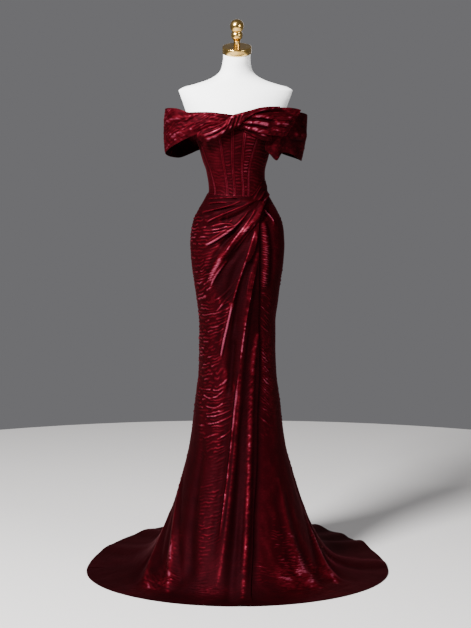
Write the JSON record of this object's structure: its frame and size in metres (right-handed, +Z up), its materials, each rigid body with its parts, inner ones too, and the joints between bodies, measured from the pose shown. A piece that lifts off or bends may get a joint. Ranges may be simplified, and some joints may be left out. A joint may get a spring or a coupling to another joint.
{
  "type": "mermaid gown on a limbless dress form",
  "caption": "Off-shoulder mermaid gown in crinkled velvet with a twisted bow, corset bodice, gathered wrap skirt and short train, on a white dress form with cap and finial.",
  "frame": {"origin": "centre of the stand's foot on the floor, under the middle of the form", "axes": "+Z up to the finial, front of the gown towards -Y, +X to the viewer's right when facing the front"},
  "size_m": [1.0099, 1.0693, 1.8097],
  "materials": {
    "velvet": "deep burgundy crinkled velvet, soft sheen on the ridges",
    "form_cover": "smooth matte white jersey over the form",
    "gold_metal": "polished gold-coloured metal"
  },
  "bodies": {
    "root": {"bodice_side_left": "velvet", "bodice_cup_left": "velvet", "bodice_centre_left": "velvet", "bodice_centre_right": "velvet", "bodice_cup_right": "velvet", "bodice_side_right": "velvet", "bodice_back_side_right": "velvet", "bodice_back_right": "velvet", "bodice_back_left": "velvet", "bodice_back_side_left": "velvet", "band_left": "velvet", "band_right": "velvet", "twist_over": "velvet", "twist_fan": "velvet", "twist_under": "velvet", "skirt_front_wrap": "velvet", "skirt_front_under": "velvet", "skirt_back_right": "velvet", "skirt_back_left": "velvet", "form_torso": "form_cover", "form_neck_cap": "gold_metal", "form_finial": "gold_metal", "form_pole": "gold_metal", "form_base": "gold_metal"}
  },
  "joints": []
}
